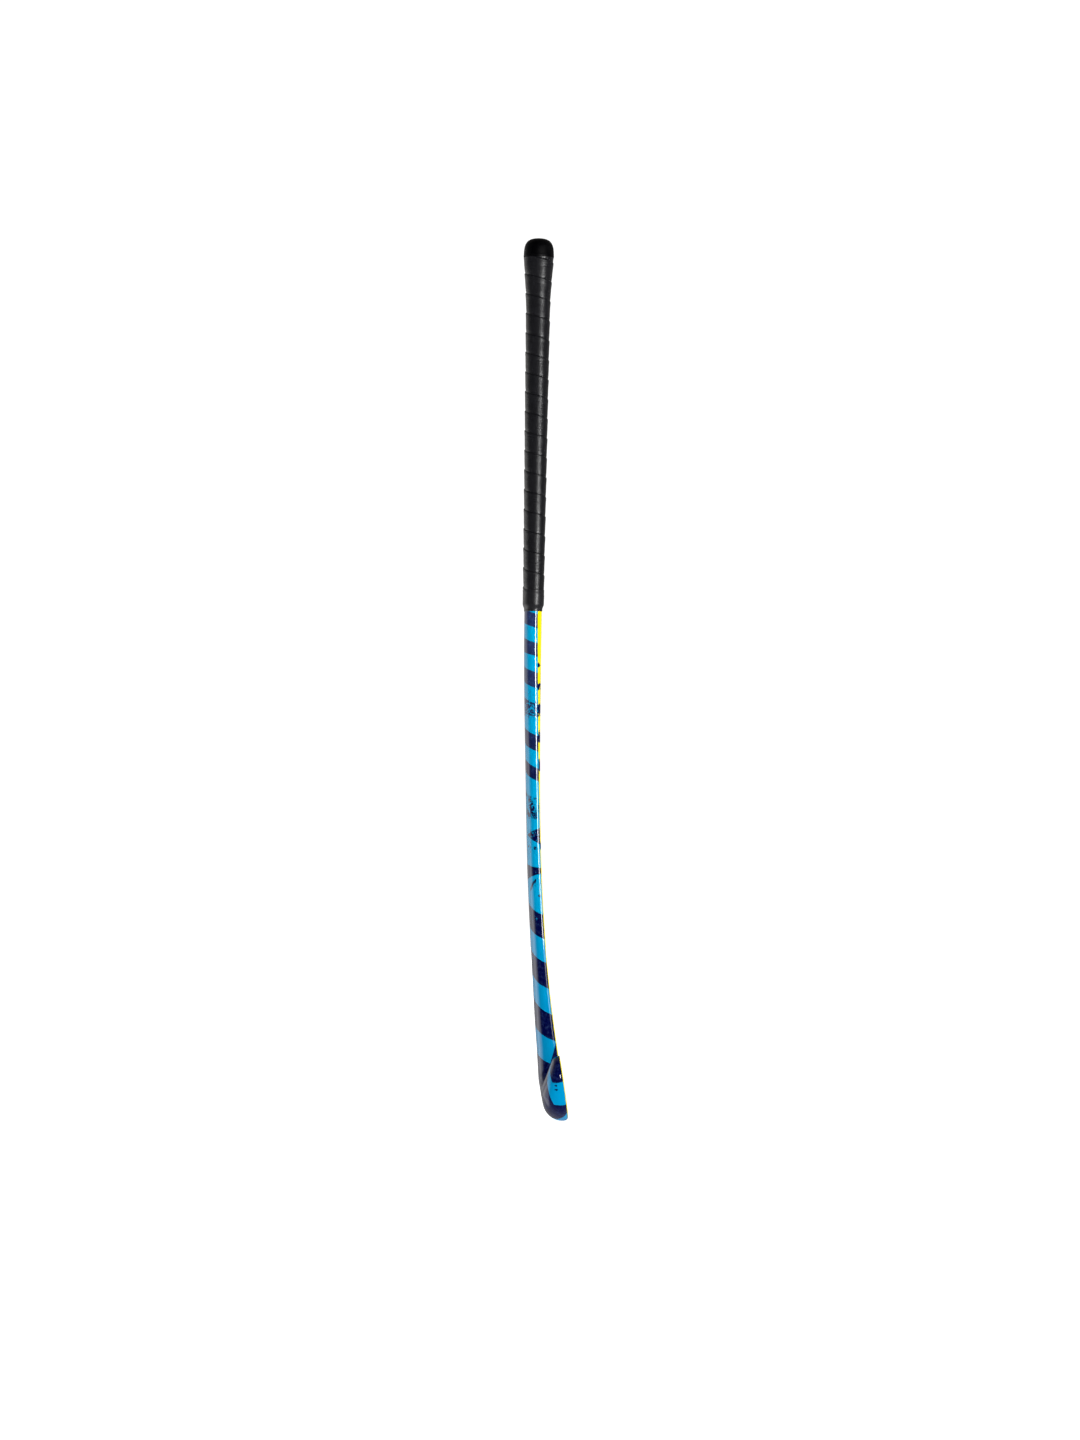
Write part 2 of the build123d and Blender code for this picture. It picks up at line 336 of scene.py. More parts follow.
def head_depth(travel):
    """Thickness of the head: it grows down the neck and thins towards the toe's tip."""
    full = ramp(SHAFT[-1][1], HEAD_DEPTH, travel / DEPTH_RAMP)
    thinned = max(0.0, (travel - HEAD_LENGTH + TAPER_LENGTH) / TAPER_LENGTH)
    return full - (HEAD_DEPTH - TIP_DEPTH) * thinned**TAPER_POWER


def head_half_width(travel):
    """Half the width of the head's bar, which narrows a little from heel to toe."""
    half_width = ramp(SHAFT[-1][0], HEEL_HALF_WIDTH, travel / NECK_LENGTH)
    return ramp(half_width, TOE_HALF_WIDTH, (travel - NECK_LENGTH) / (TIP_START - NECK_LENGTH))


def stations():
    """Every row of the painted skins: the distance down and, in the tip, the turn.

    The tip closes up here. The CAD's stops at 80 degrees, about 0.5 mm shorter.
    """
    rows = [(down, None) for down in np.arange(SKIN_START, BOW_END, SKIN_STEP)]
    rows += [(BOW_END + travel, None) for travel in np.linspace(0, TIP_START, HEAD_ROWS)]
    rows += [(None, turn) for turn in np.linspace(0, pi / 2, TIP_ROWS)[1:]]
    return rows


def section(down, turn, inset):
    """(distance down, frame, size) of one row, this far in from the surface."""
    if turn is None and down < BOW_END:
        size = shaft_size(down)
        return down, shaft_frame(down), (size[0] - inset, size[1] - 2 * inset, size[2] - inset)
    if turn is None:
        travel = down - BOW_END
        half_width, depth = head_half_width(travel), head_depth(travel)
        size = (half_width - inset, depth - 2 * inset, HEAD_CORNER - inset)
        return down, head_frame(travel), size
    share = sin(turn)
    travel = TIP_START + TIP_LENGTH * share
    round_start = 1 - TIP_ROUND / TIP_LENGTH
    rounded = sqrt(max(0.0, 1 - (max(0.0, share - round_start) / (1 - round_start)) ** 2))
    size = (
        max((TOE_HALF_WIDTH - inset) * cos(turn), TINY),
        max((head_depth(travel) - 2 * inset) * rounded, TINY),
        HEAD_CORNER - inset,
    )
    return BOW_END + travel, head_frame(travel - inset * share), size


def edge_depth(down, depth):
    """How far behind the face the two colours meet."""
    edge = ramp(EDGE_TOP, EDGE_HEAD, (down - EDGE_HIGH) / (EDGE_LOW - EDGE_HIGH))
    return min(edge, 0.3 * depth)


def section_curve(down, turn, inset):
    """Distance down, frame, size and (girth, across, out) of one row at this inset."""
    down, ways, size = section(down, turn, inset)
    across, out = outline(size, -inset)
    girth = np.concatenate([[0.0], np.cumsum(np.hypot(np.diff(across), np.diff(out)))])
    return down, ways, size, (girth, across, out)


def points_at(places, ways, curve):
    """Points of a section at these places along its girth."""
    origin, across_way, out_way = ways
    girth, across, out = curve
    wrapped = np.mod(places, girth[-1])
    a = np.interp(wrapped, girth, across)
    o = np.interp(wrapped, girth, out)
    return origin + a[:, None] * across_way + o[:, None] * out_way


def skin_row(down, turn, inset, columns, face_side):
    """One row of points of a skin, with each one's distance down and place across it."""
    down, ways, size, curve = section_curve(down, turn, inset)
    girth, _, out = curve
    behind = -out[: len(out) // 3]
    meets = np.interp(max(edge_depth(down, size[1]), inset), behind, girth[: len(behind)])
    total = girth[-1]
    if face_side:
        places = np.linspace(-meets, meets, columns)
        side = places
    else:
        places = np.linspace(meets, total - meets, columns)
        side = total / 2 - places
    widest = max(np.abs(side).max(), 1e-6)
    return points_at(places, ways, curve), np.full(columns, down), side / widest


def painted_skin(name, node, columns, face_side):
    """A thin closed shell that covers the face side or the back side of the stick."""
    points, downs, sides = [], [], []
    rows = stations()
    for inset in (SKIN_GAP, SKIN):
        for down, turn in rows:
            row_points, row_down, row_side = skin_row(down, turn, inset, columns, face_side)
            points.append(row_points)
            downs.append(row_down)
            sides.append(row_side)
    count = len(rows)
    inner = count * columns
    faces = grid_faces(count, columns) + grid_faces(count, columns, start=inner, flip=True)
    first = [row * columns for row in range(count)]
    last = [row * columns + columns - 1 for row in range(count)]
    top = list(range(columns))
    for edge in (first, last, top):
        faces += strip_faces(edge, [number + inner for number in edge])
    attributes = {"down": np.concatenate(downs), "side": np.concatenate(sides)}
    piece = make_piece(name, np.vstack(points), faces, attributes)
    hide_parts(node)
    return piece


def laminate_shell():
    """The laminate under the paint and the grip: a closed tube that narrows to the toe."""
    start = down_range("outer_laminate")[0]
    rows = [(down, None) for down in np.arange(start, SKIN_START, LAMINATE_STEP)] + stations()
    points = []
    for inset in (SKIN + SKIN_GAP, SKIN + LAMINATE_WALL):
        for down, turn in rows:
            _, ways, _, curve = section_curve(down, turn, inset)
            places = np.linspace(0, curve[0][-1], LAMINATE_COLUMNS, endpoint=False)
            points.append(points_at(places, ways, curve))
    inner = len(rows) * LAMINATE_COLUMNS
    faces = grid_faces(len(rows), LAMINATE_COLUMNS, wrap=True)
    faces += grid_faces(len(rows), LAMINATE_COLUMNS, start=inner, wrap=True, flip=True)
    top = list(range(LAMINATE_COLUMNS)) + [0]
    faces += strip_faces(top, [number + inner for number in top])
    shell = make_piece("laminate_shell", np.vstack(points), faces)
    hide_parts("outer_laminate")
    return shell


# ---- the handle ----


def grip_size(down):
    """Half width, depth and corner radius of the grip's outside."""
    share = (down - FLARE_END) / (GRIP_END - FLARE_END)
    flare = max(0.0, min(1.0, (FLARE_END - down) / (FLARE_END - GRIP_START))) ** FLARE_POWER
    straight = ramp(0.0, 1.0, share) * (GRIP_BOTTOM - GRIP_TOP) + GRIP_TOP
    return straight + (GRIP_BUTT - GRIP_TOP) * flare


def polar_table(size_at, centre_at, downs, angles):
    """Radius of a section round its centre, for each distance down and each angle."""
    table = []
    for down in downs:
        across, out = outline(size_at(down), centre_at(down))
        found = np.arctan2(across, out) % tau
        order = np.argsort(found)
        table.append(np.interp(angles, found[order], np.hypot(across, out)[order], period=tau))
    return np.array(table)


ANGLES = np.linspace(0, tau, 361)
GRIP_DOWNS = np.linspace(GRIP_START, GRIP_END, 124)
GRIP_TABLE = polar_table(grip_size, lambda down: grip_size(down)[1] / 2, GRIP_DOWNS, ANGLES)


def grip_radius(angle, down):
    """Radius of the grip's nominal outside. The angle starts at +X and grows towards +Y."""
    share = (down - GRIP_START) / (GRIP_END - GRIP_START)
    row = min(max(share, 0.0), 1.0) * (len(GRIP_DOWNS) - 1)
    low = min(int(row), len(GRIP_DOWNS) - 2)
    here = np.interp(angle % tau, ANGLES, GRIP_TABLE[low])
    there = np.interp(angle % tau, ANGLES, GRIP_TABLE[low + 1])
    return here + (there - here) * (row - low)


# The strip's outside, as heights over the surface it is wound on, at places across its width
WIDTH = PITCH + OVERLAP
OUTSIDE = np.array(
    [
        (0.0, 1.0),
        (0.12, 1.42),
        (0.45, 1.66),
        (1.0, 1.75),
        (2.4, 1.73),
        (OVERLAP, 1.6),
        (OVERLAP + 2.5, 1.48),
        (11.0, 1.42),
        (15.5, 1.34),
        (18.5, 1.14),
        (PITCH - 0.4, 0.86),
        (PITCH + 1.0, 0.72),
        (WIDTH - 0.4, 0.5),
        (WIDTH, 0.3),
    ]
)
CLEAR = 0.03  # between a turn and the one that it lies on


def outside_height(place):
    """How high the strip's outside is at a place across its width."""
    return np.interp(place, OUTSIDE[:, 0], OUTSIDE[:, 1])


def inside_height(place):
    """The strip's underside: on the turn above, then down to the surface it is wound on."""
    lifted = outside_height(place + PITCH) + CLEAR
    settled = np.interp(place, [OVERLAP, OVERLAP + 1.0], [0.38, 0.0])
    return np.where(place < OVERLAP, lifted, settled)


def strip_angle(turns):
    """The angle where the strip is after this many turns. Its seams cross the back at pi."""
    first = (SEAM_AT_BACK - GRIP_START) / PITCH
    return pi + tau * (turns - 1 - first)


def crease(angle, down, seed):
    """Small unevenness of the wound strip, in millimetres."""
    at = Vector((cos(angle) * 1.6, sin(angle) * 1.6, down * 0.11 + seed * 7.3))
    return noise.noise(at) * 0.10 + noise.noise(at * 2.7) * 0.05


def make_grip():
    """The cushioned strip, wound from the cap downwards, each turn over the one above."""
    turns_total = (GRIP_END - GRIP_START) / PITCH + 1 - TAIL
    steps = int(turns_total * STRIP_TURN_STEPS)
    shares = np.linspace(0, 1, STRIP_COLUMNS)
    closer_at_edges = 0.5 - 0.5 * np.cos(pi * shares)
    shares = 0.55 * shares + 0.45 * closer_at_edges
    points, along, across = [], [], []
    for step in range(steps + 1):
        turns = turns_total * step / steps
        angle = strip_angle(turns)
        upper = max(GRIP_START, GRIP_START + PITCH * (turns - 1))
        lower = min(GRIP_END, GRIP_START + PITCH * turns + OVERLAP)
        true_upper = GRIP_START + PITCH * (turns - 1)
        places = upper + (lower - upper) * shares
        widths = places - true_upper
        outer = outside_height(widths)
        inner = np.minimum(inside_height(widths), outer - THINNEST)
        off_cap = np.array([smooth((down - GRIP_START) / CAP_TUCK) for down in places])
        off_tape = np.array([smooth((TAPE_START + 2 - down) / TAPE_TUCK) for down in places])
        outer = outer - CAP_TUCK_DEPTH * (1 - off_cap)
        outer = outer + (np.minimum(outer, TAPE_TUCK_HEIGHT) - outer) * (1 - off_tape)
        inner = np.minimum(inner, outer - THINNEST_TUCKED)
        ring = []
        for place, height in zip(places, outer):
            radius = grip_radius(angle, place) - BASE_INSET + height
            radius += crease(angle, place, int(turns))
            ring.append((radius * cos(angle), radius * sin(angle), BUTT_TOP - place))
        for place, height in zip(places[::-1], inner[::-1]):
            radius = grip_radius(angle, place) - BASE_INSET + height
            ring.append((radius * cos(angle), radius * sin(angle), BUTT_TOP - place))
        points += ring
        along += [turns * tau * MEAN_RADIUS] * (2 * STRIP_COLUMNS)
        across += list(widths) + list(widths[::-1])
    ring_size = 2 * STRIP_COLUMNS
    faces = grid_faces(steps + 1, ring_size, wrap=True)
    faces.append(list(range(ring_size)))
    faces.append(list(range(steps * ring_size, (steps + 1) * ring_size))[::-1])
    attributes = {"along": along, "width": across}
    piece = make_piece("grip_strip", points, faces, attributes, sharp=60.0)
    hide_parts("grip_wrap")
    return piece


TAPE_ANGLES = [tau * column / TAPE_COLUMNS for column in range(TAPE_COLUMNS)]


def shaft_radii(down):
    """Radius of the shaft at each of the tape's angles."""
    table = polar_table(shaft_size, lambda place: shaft_size(place)[1] / 2, [down], ANGLES)
    return [np.interp(angle, ANGLES, table[0]) for angle in TAPE_ANGLES]


def make_tape():
    """Thin finishing tape: over the strip's end, down its edge and onto the shaft."""
    profile = [
        (TAPE_START, 0.02),
        (TAPE_START + 0.15, 0.22),
        (TAPE_START + 0.6, TAPE_PROUD),
    ]
    level_part = np.arange(TAPE_START + 1.6, GRIP_END - TAPE_DROP_START, 1.0)
    profile += [(down, TAPE_PROUD) for down in level_part]
    rows = []
    for down, proud in profile:
        rows.append([grip_radius(a, down) + proud + tape_relief(a, down) for a in TAPE_ANGLES])
    downs = [down for down, _ in profile]
    last_row, last_down = rows[-1], downs[-1]
    above, below = shaft_radii(GRIP_END), shaft_radii(TAPE_END)
    for index in range(1, TAPE_DROP_ROWS + 1):
        share = index / TAPE_DROP_ROWS
        drop = smooth((share - TAPE_LEVEL_SHARE) / TAPE_FALL_SHARE)
        low_row = [radius + TAPE_ON_SHAFT for radius in below]
        rows.append([high + (low - high) * drop for high, low in zip(last_row, low_row)])
        downs.append(last_down + (TAPE_END - TAPE_LIP - last_down) * share)
    rows.append([radius + 0.05 for radius in below])
    downs.append(TAPE_END)
    inner_rows = []
    for row, down in zip(rows[::-1], downs[::-1]):
        if down > GRIP_END - 0.5:
            inner_rows.append([radius - 0.1 for radius in above])
        else:
            inner_rows.append([radius - TAPE_INSIDE for radius in row])
    points = []
    for row, down in zip(rows + inner_rows, downs + downs[::-1]):
        for radius, angle in zip(row, TAPE_ANGLES):
            points.append((radius * cos(angle), radius * sin(angle), BUTT_TOP - down))
    count = len(rows) + len(inner_rows)
    faces = grid_faces(count, TAPE_COLUMNS, wrap=True)
    bottom = list(range((count - 1) * TAPE_COLUMNS, count * TAPE_COLUMNS))
    faces += strip_faces(bottom + bottom[:1], list(range(TAPE_COLUMNS)) + [0])
    piece = make_piece("tape_band", points, faces, sharp=50.0)
    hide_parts("finishing_tape")
    return piece


def tape_relief(angle, down):
    """What shows through the tape: the strip's last seam, and small folds."""
    turns = (angle - strip_angle(0.0)) / tau
    seam = (down - GRIP_START - PITCH * (turns - 1)) % PITCH
    step = 0.22 * (1 - smooth(seam / 6.0)) * smooth(seam / 0.8)
    return step + 0.06 * noise.noise(Vector((cos(angle) * 3, sin(angle) * 3, down * 0.5)))


# The cap's outside as (distance down, radius), then the inside that the handle fills. Its
# band narrows by 0.5 mm towards the dome, where the CAD's is straight.
CAP_OUTSIDE = [
    (0.0, 0.0),
    (0.07, 2.8),
    (0.35, 5.4),
    (1.0, 8.2),
    (2.2, 10.7),
    (4.0, 12.7),
    (6.6, 14.3),
    (9.6, 15.25),
    (13.5, 15.75),
    (17.0, 15.93),
    (18.2, 16.05),
    (19.4, 16.05),
    (CAP_END - 0.25, 15.9),
    (CAP_END, 15.6),
]
CAP_INSIDE = [(CAP_END, 14.1), (9.0, 13.8), (4.6, 9.0), (3.6, 4.0), (3.6, 0.0)]


def make_cap():
    """Domed rubber cap with a soft lip, spun round the handle's axis."""
    last = len(CAP_OUTSIDE) - 1
    places = np.linspace(0, last, CAP_STEPS * last + 1)
    profile = [smooth_through(CAP_OUTSIDE, place) for place in places] + CAP_INSIDE
    points = []
    for down, radius in profile:
        for column in range(CAP_COLUMNS):
            angle = tau * column / CAP_COLUMNS
            points.append((radius * cos(angle), radius * sin(angle), BUTT_TOP - down))
    faces = grid_faces(len(profile), CAP_COLUMNS, wrap=True)
    piece = make_piece("cap_moulding", points, faces, sharp=50.0)
    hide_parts("butt_cap")
    return piece


# ---- materials ----


class Paint:
    """One node material, with short calls for the nodes that it uses."""

    def __init__(self, name):
        self.material = bpy.data.materials.new(name)
        self.material.use_nodes = True
        self.tree = self.material.node_tree
        self.shader = next(n for n in self.tree.nodes if n.type == "BSDF_PRINCIPLED")

    def node(self, kind, **settings):
        """A new shader node, with these properties set."""
        made = self.tree.nodes.new("ShaderNode" + kind)
        for key, value in settings.items():
            setattr(made, key, value)
        return made

    def feed(self, socket, value):
        """Links an output to a socket, or sets the socket to a plain value."""
        if isinstance(value, bpy.types.NodeSocket):
            self.tree.links.new(value, socket)
        elif value is not None:
            socket.default_value = value

    def math(self, operation, first, second=None, third=None, clamp=False):
        made = self.node("Math", operation=operation, use_clamp=clamp)
        for socket, value in zip(made.inputs, (first, second, third)):
            self.feed(socket, value)
        return made.outputs[0]

    def times(self, first, second):
        return self.math("MULTIPLY", first, second)

    def larger(self, first, second):
        return self.math("MAXIMUM", first, second)

    def largest(self, values):
        return reduce(self.larger, values)

    def rest_of(self, share):
        """What is left of 1."""
        return self.math("SUBTRACT", 1.0, share)

    def attribute(self, name):
        return self.node("Attribute", attribute_name=name).outputs["Fac"]

    def place(self):
        return self.node("TexCoord").outputs["Object"]

    def vector(self, x, y, z):
        made = self.node("CombineXYZ")
        for socket, value in zip(made.inputs, (x, y, z)):
            self.feed(socket, value)
        return made.outputs[0]

    def noise(self, scale, detail=2.0, roughness=0.5, at=None, distortion=0.0):
        made = self.node("TexNoise")
        self.feed(made.inputs["Vector"], at or self.place())
        self.feed(made.inputs["Scale"], scale)
        self.feed(made.inputs["Detail"], detail)
        self.feed(made.inputs["Roughness"], roughness)
        self.feed(made.inputs["Distortion"], distortion)
        return made.outputs["Fac"]

    def voronoi(self, scale):
        made = self.node("TexVoronoi")
        self.feed(made.inputs["Vector"], self.place())
        self.feed(made.inputs["Scale"], scale)
        return made.outputs["Distance"]

    def between(self, value, low, high, start=0.0, end=1.0):
        """Goes softly from start to end as value goes from low to high."""
        made = self.node("MapRange", interpolation_type="SMOOTHSTEP")
        for socket, number in zip(made.inputs, (value, low, high, start, end)):
            self.feed(socket, number)
        return made.outputs[0]

    def past(self, value, limit, blur):
        """1 where value is over the limit and 0 where it is under, with a blur between."""
        return self.between(self.math("SUBTRACT", value, limit), -blur, blur)

    def mix(self, share, first, second):
        """A colour between two, by share."""
        made = self.node("Mix", data_type="RGBA")
        self.feed(made.inputs[0], share)
        self.feed(made.inputs[6], first)
        self.feed(made.inputs[7], second)
        return made.outputs[2]

    def bump(self, height, distance, strength=1.0, normal=None):
        made = self.node("Bump")
        self.feed(made.inputs["Strength"], strength)
        self.feed(made.inputs["Distance"], distance)
        self.feed(made.inputs["Height"], height)
        if normal is not None:
            self.feed(made.inputs["Normal"], normal)
        return made.outputs[0]

    def finish(self, **inputs):
        """Sets the shader's inputs, named with _ for a space, and gives the material."""
        for name, value in inputs.items():
            self.feed(self.shader.inputs[name.replace("_", " ")], value)
        return self.material


CYAN = srgb(0, 143, 186)
CYAN_DEEP = srgb(0, 122, 168)
NAVY = srgb(2, 5, 50)
# a paler blue-grey navy, mixed in at random patches and more towards the top of the shaft
NAVY_PALE = srgb(62, 84, 128)
YELLOW = srgb(230, 215, 0)
YELLOW_DEEP = srgb(222, 204, 0)

# The navy bands, as distances down: start and end at the toe-side edge of the back, then
# start and end at its crown. They carry on at the same slant to the heel-side edge. A band
# whose end would come before its start runs out on the way.
BANDS = [
    ((397.0, 412.0), (390.0, 405.1)),
    ((428.0, 442.1), (419.9, 435.5)),
    ((458.9, 475.4), (450.7, 466.6)),
    ((491.9, 505.6), (482.6, 500.1)),
    ((525.1, 542.0), (513.6, 531.0)),
    ((559.7, 573.4), (546.4, 560.7)),
    ((602.0, 583.0), (578.0, 590.5)),
    ((621.4, 639.2), (632.0, 624.0)),
    ((663.4, 669.3), (659.2, 677.1)),
    ((713.1, 738.0), (697.1, 723.1)),
    ((763.5, 790.4), (745.4, 770.5)),
    ((817.5, 845.2), (795.2, 825.2)),
    ((872.0, 1010.0), (853.5, 1010.0)),
]
# Ragged strokes on the back: distance down, place across, half length down the stick, half
# width across, and slant. Across, 0 is the crown, -1 the toe-side edge and 1 the heel-side one.
STROKES = [
    (600.0, -0.66, 13.0, 0.16, 0.012),
    (606.0, -0.42, 5.0, 0.16, 0.02),
    (640.8, -0.4, 1.5, 0.07, 0.0),
    (642.7, -0.78, 1.8, 0.08, 0.0),
    (681.0, -0.62, 6.0, 0.07, -0.026),
    (678.0, -0.74, 3.4, 0.05, -0.03),
    (692.5, -0.9, 1.3, 0.05, 0.0),
    (969.6, 0.72, 0.6, 0.06, 0.0),
    (966.8, 0.73, 0.6, 0.06, 0.0),
]
# Where paint is spattered on the back: start, end, how much of it
SPATTER = [
    (396.0, 413.0, 0.35),
    (427.0, 444.0, 0.45),
    (456.0, 476.0, 0.5),
    (476.0, 489.0, 0.8),
    (486.0, 508.0, 1.0),
    (586.0, 614.0, 0.9),
    (620.0, 652.0, 0.75),
    (658.0, 672.0, 0.5),
    (672.0, 690.0, 0.6),
    (702.0, 724.0, 0.55),
    (744.0, 766.0, 0.45),
    (786.0, 792.0, 0.5),
]


# Slanted edges of the paint: distance down, place across there, and slant
WEDGE_LINE = (846.0, -1.0, -0.0125)
WEDGE_END = 890.0
# The same in the head, where distances start at the end of the bow, and where each begins
TOE_CYAN_LINE = (115.8, 0.42, 0.0185)
TOE_CYAN_START = 104.5
TOE_NAVY_LINE = (121.8, 0.6, 0.025)
TOE_NAVY_START = 121.5
HEEL_CYAN = ((30.0, 38.0), (66.0, 30.0))  # its start and end at the crown, and how they slant

BAND_BLUR = 0.12
HOOK_BLUR = 0.3
SIDE_BLUR = 0.01
SPATTER_OUT, SPATTER_IN = 3.0, 5.0  # how far a patch fades past its ends and before them
# The noise level over which a fleck is made, and how far it drops where they are densest
SPATTER_RARE, SPATTER_GAIN = 0.80, 0.25


def band_mask(paint, down, side, band):
    """1 inside a navy band and 0 outside it."""
    limits = []
    for at_edge, at_crown in zip(*band):
        limits.append(paint.math("MULTIPLY_ADD", side, at_crown - at_edge, at_crown))
    start, end = limits
    return paint.times(paint.past(down, start, BAND_BLUR), paint.past(end, down, BAND_BLUR))


def line_across(paint, down, line):
    """The place across where a slanted line runs, at each distance down."""
    at_down, at_side, slant = line
    return paint.math("MULTIPLY_ADD", down, -slant, at_side + at_down * slant)


def ragged_edge(paint, scale):
    """An uneven amount, mostly between -1 and 1, that frays the edge of a stroke."""
    return paint.math("MULTIPLY_ADD", paint.noise(scale, 4.0, 0.7), 5.0, -2.4)


def stroke_mask(paint, down, side, stroke, ragged):
    """1 inside a slanted brush stroke with ragged edges."""
    middle, place, half_length, half_width, slant = stroke

    def squared(value, half):
        return paint.math("POWER", paint.math("ABSOLUTE", paint.math("DIVIDE", value, half)), 2.0)

    along = paint.math("SUBTRACT", down, middle)
    across = paint.math("SUBTRACT", side, place)
    across = paint.math("MULTIPLY_ADD", along, slant, across)
    reach = paint.math("ADD", squared(along, half_length), squared(across, half_width))
    return paint.between(paint.math("ADD", reach, ragged), 1.1, 0.9)


def spatter_mask(paint, down, spots, scale, reach=1.0):
    """Ragged flecks of the other colour, dense where the list says and as far across as reach."""

    def patch(start, end, share):
        rise = paint.between(down, start - SPATTER_OUT, start + SPATTER_IN)
        fall = paint.between(down, end + SPATTER_OUT, end - SPATTER_IN)
        return paint.times(paint.times(rise, fall), share)

    amount = paint.times(paint.largest(patch(*spot) for spot in spots), reach)
    flecks = paint.noise(scale, 3.0, 0.62, distortion=0.6)
    limit = paint.math("MULTIPLY_ADD", amount, -SPATTER_GAIN, SPATTER_RARE)
    inside = paint.between(amount, 0.02, 0.1)
    return paint.times(inside, paint.past(flecks, limit, SIDE_BLUR))


def lacquer(paint, colour):
    """Gloss clear coat over print, with the faint waviness of a hand-sanded moulding."""
    ripple = paint.noise(38.0, 2.0, 0.5)
    orange_peel = paint.noise(900.0, 2.0, 0.5)
    first = paint.bump(ripple, 0.00002, 0.5)
    coat_normal = paint.bump(orange_peel, 0.000001, 0.5, normal=first)
    worn = paint.noise(160.0, 4.0, 0.6)
    return paint.finish(
        Base_Color=colour,
        Roughness=paint.between(worn, 0.35, 0.75, 0.22, 0.34),
        Coat_Normal=coat_normal,
        Normal=first,
        Coat_Weight=1.0,
        Coat_Roughness=0.04,
        Coat_IOR=1.5,
        IOR=1.45,
        Specular_IOR_Level=0.0,
    )


def hook_cyan(paint, down, side):
    """The cyan left between navy on the heel side of the bend and on the toe."""
    turn = paint.math("SUBTRACT", down, BOW_END)
    across = paint.past(side, line_across(paint, turn, TOE_CYAN_LINE), SIDE_BLUR)
    beyond = paint.between(turn, TOE_CYAN_START, TOE_CYAN_START + 0.6)
    in_navy = paint.past(side, line_across(paint, turn, TOE_NAVY_LINE), SIDE_BLUR)
    in_navy = paint.times(in_navy, paint.between(turn, TOE_NAVY_START, TOE_NAVY_START + 0.6))
    toe = paint.times(paint.times(beyond, across), paint.rest_of(in_navy))
    limits = [paint.math("MULTIPLY_ADD", side, slant, at_crown) for at_crown, slant in HEEL_CYAN]
    start, end = limits
    heel = paint.times(paint.past(turn, start, HOOK_BLUR), paint.past(end, turn, HOOK_BLUR))
    heel = paint.times(heel, paint.between(side, 0.0, 0.05))
    return paint.larger(toe, heel)


def navy_wedge(paint, place, side):
    """Navy that widens from the toe-side edge down to the inside of the bend."""
    wedge = paint.past(line_across(paint, place, WEDGE_LINE), side, SIDE_BLUR)
    return paint.times(wedge, paint.between(place, WEDGE_END, WEDGE_END - 1.0))


def back_paint():
    """Cyan with navy bands that run round the back, under lacquer."""
    paint = Paint("back_lacquer")
    place = paint.attribute("down")
    side = paint.attribute("side")
    wander = paint.math("MULTIPLY_ADD", paint.noise(45.0, 2.0, 0.5), 1.8, -0.9)
    rough = paint.math("MULTIPLY_ADD", paint.noise(600.0, 3.0, 0.6), 1.0, -0.5)
    down = paint.math("ADD", paint.math("ADD", place, wander), rough)
    navy = paint.largest(band_mask(paint, down, side, band) for band in BANDS)
    navy = paint.larger(navy, navy_wedge(paint, place, side))
    navy = paint.times(navy, paint.rest_of(hook_cyan(paint, down, side)))
    ragged = ragged_edge(paint, 500.0)
    for stroke in STROKES:
        navy = paint.larger(navy, stroke_mask(paint, place, side, stroke, ragged))
    flecks = spatter_mask(paint, place, SPATTER, 520.0)
    navy = paint.math("ABSOLUTE", paint.math("SUBTRACT", navy, flecks))
    shade = paint.noise(30.0, 2.0, 0.5)
    lower = paint.between(place, 600.0, 900.0)
    deeper = paint.math("MULTIPLY_ADD", shade, 0.4, lower, clamp=True)
    cyan = paint.mix(deeper, CYAN, CYAN_DEEP)
    # Navy turns towards a paler blue-grey in random patches, and more so from 620 mm down up to 430
    # mm.
    pale_share = paint.between(paint.noise(260.0, 5.0, 0.7), 0.45, 0.8, 0.0, 0.3)
    pale_share = paint.math("ADD", pale_share, paint.between(place, 620.0, 430.0, 0.0, 0.24))
    dark = paint.mix(pale_share, NAVY, NAVY_PALE)
    return lacquer(paint, paint.mix(navy, cyan, dark))


# Navy strokes that reach round the toe-side edge of the yellow face, as in STROKES. Here 0 is
# the middle of the face.
FACE_STROKES = [
    (497.0, -0.98, 6.6, 0.5, 0.02),
    (526.0, -0.98, 6.5, 0.6, 0.02),
    (556.4, -0.98, 7.0, 0.7, 0.02),
    (641.0, -0.98, 4.0, 0.25, 0.0),
    (450.4, -0.97, 2.4, 0.2, 0.0),
    (473.0, -0.97, 4.2, 0.3, 0.03),
]
FACE_SPATTER = [
    (446.0, 456.0, 0.9),
    (461.0, 466.0, 0.8),
    (467.0, 480.0, 1.0),
    (480.0, 512.0, 1.0),
    (512.0, 536.0, 0.7),
    (540.0, 566.0, 0.7),
    (590.0, 606.0, 0.5),
    (632.0, 660.0, 0.4),
]


def face_paint():
    """Yellow playing face with navy flecks below the grip, under lacquer."""
    paint = Paint("face_lacquer")
    place = paint.attribute("down")
    side = paint.attribute("side")
    ragged = ragged_edge(paint, 420.0)
    near_edge = paint.between(side, -0.3, -0.95)
    navy = spatter_mask(paint, place, FACE_SPATTER, 430.0, near_edge)
    for stroke in FACE_STROKES:
        navy = paint.larger(navy, stroke_mask(paint, place, side, stroke, ragged))
    yellow = paint.mix(paint.noise(24.0, 3.0, 0.5), YELLOW, YELLOW_DEEP)
    return lacquer(paint, paint.mix(navy, yellow, NAVY))


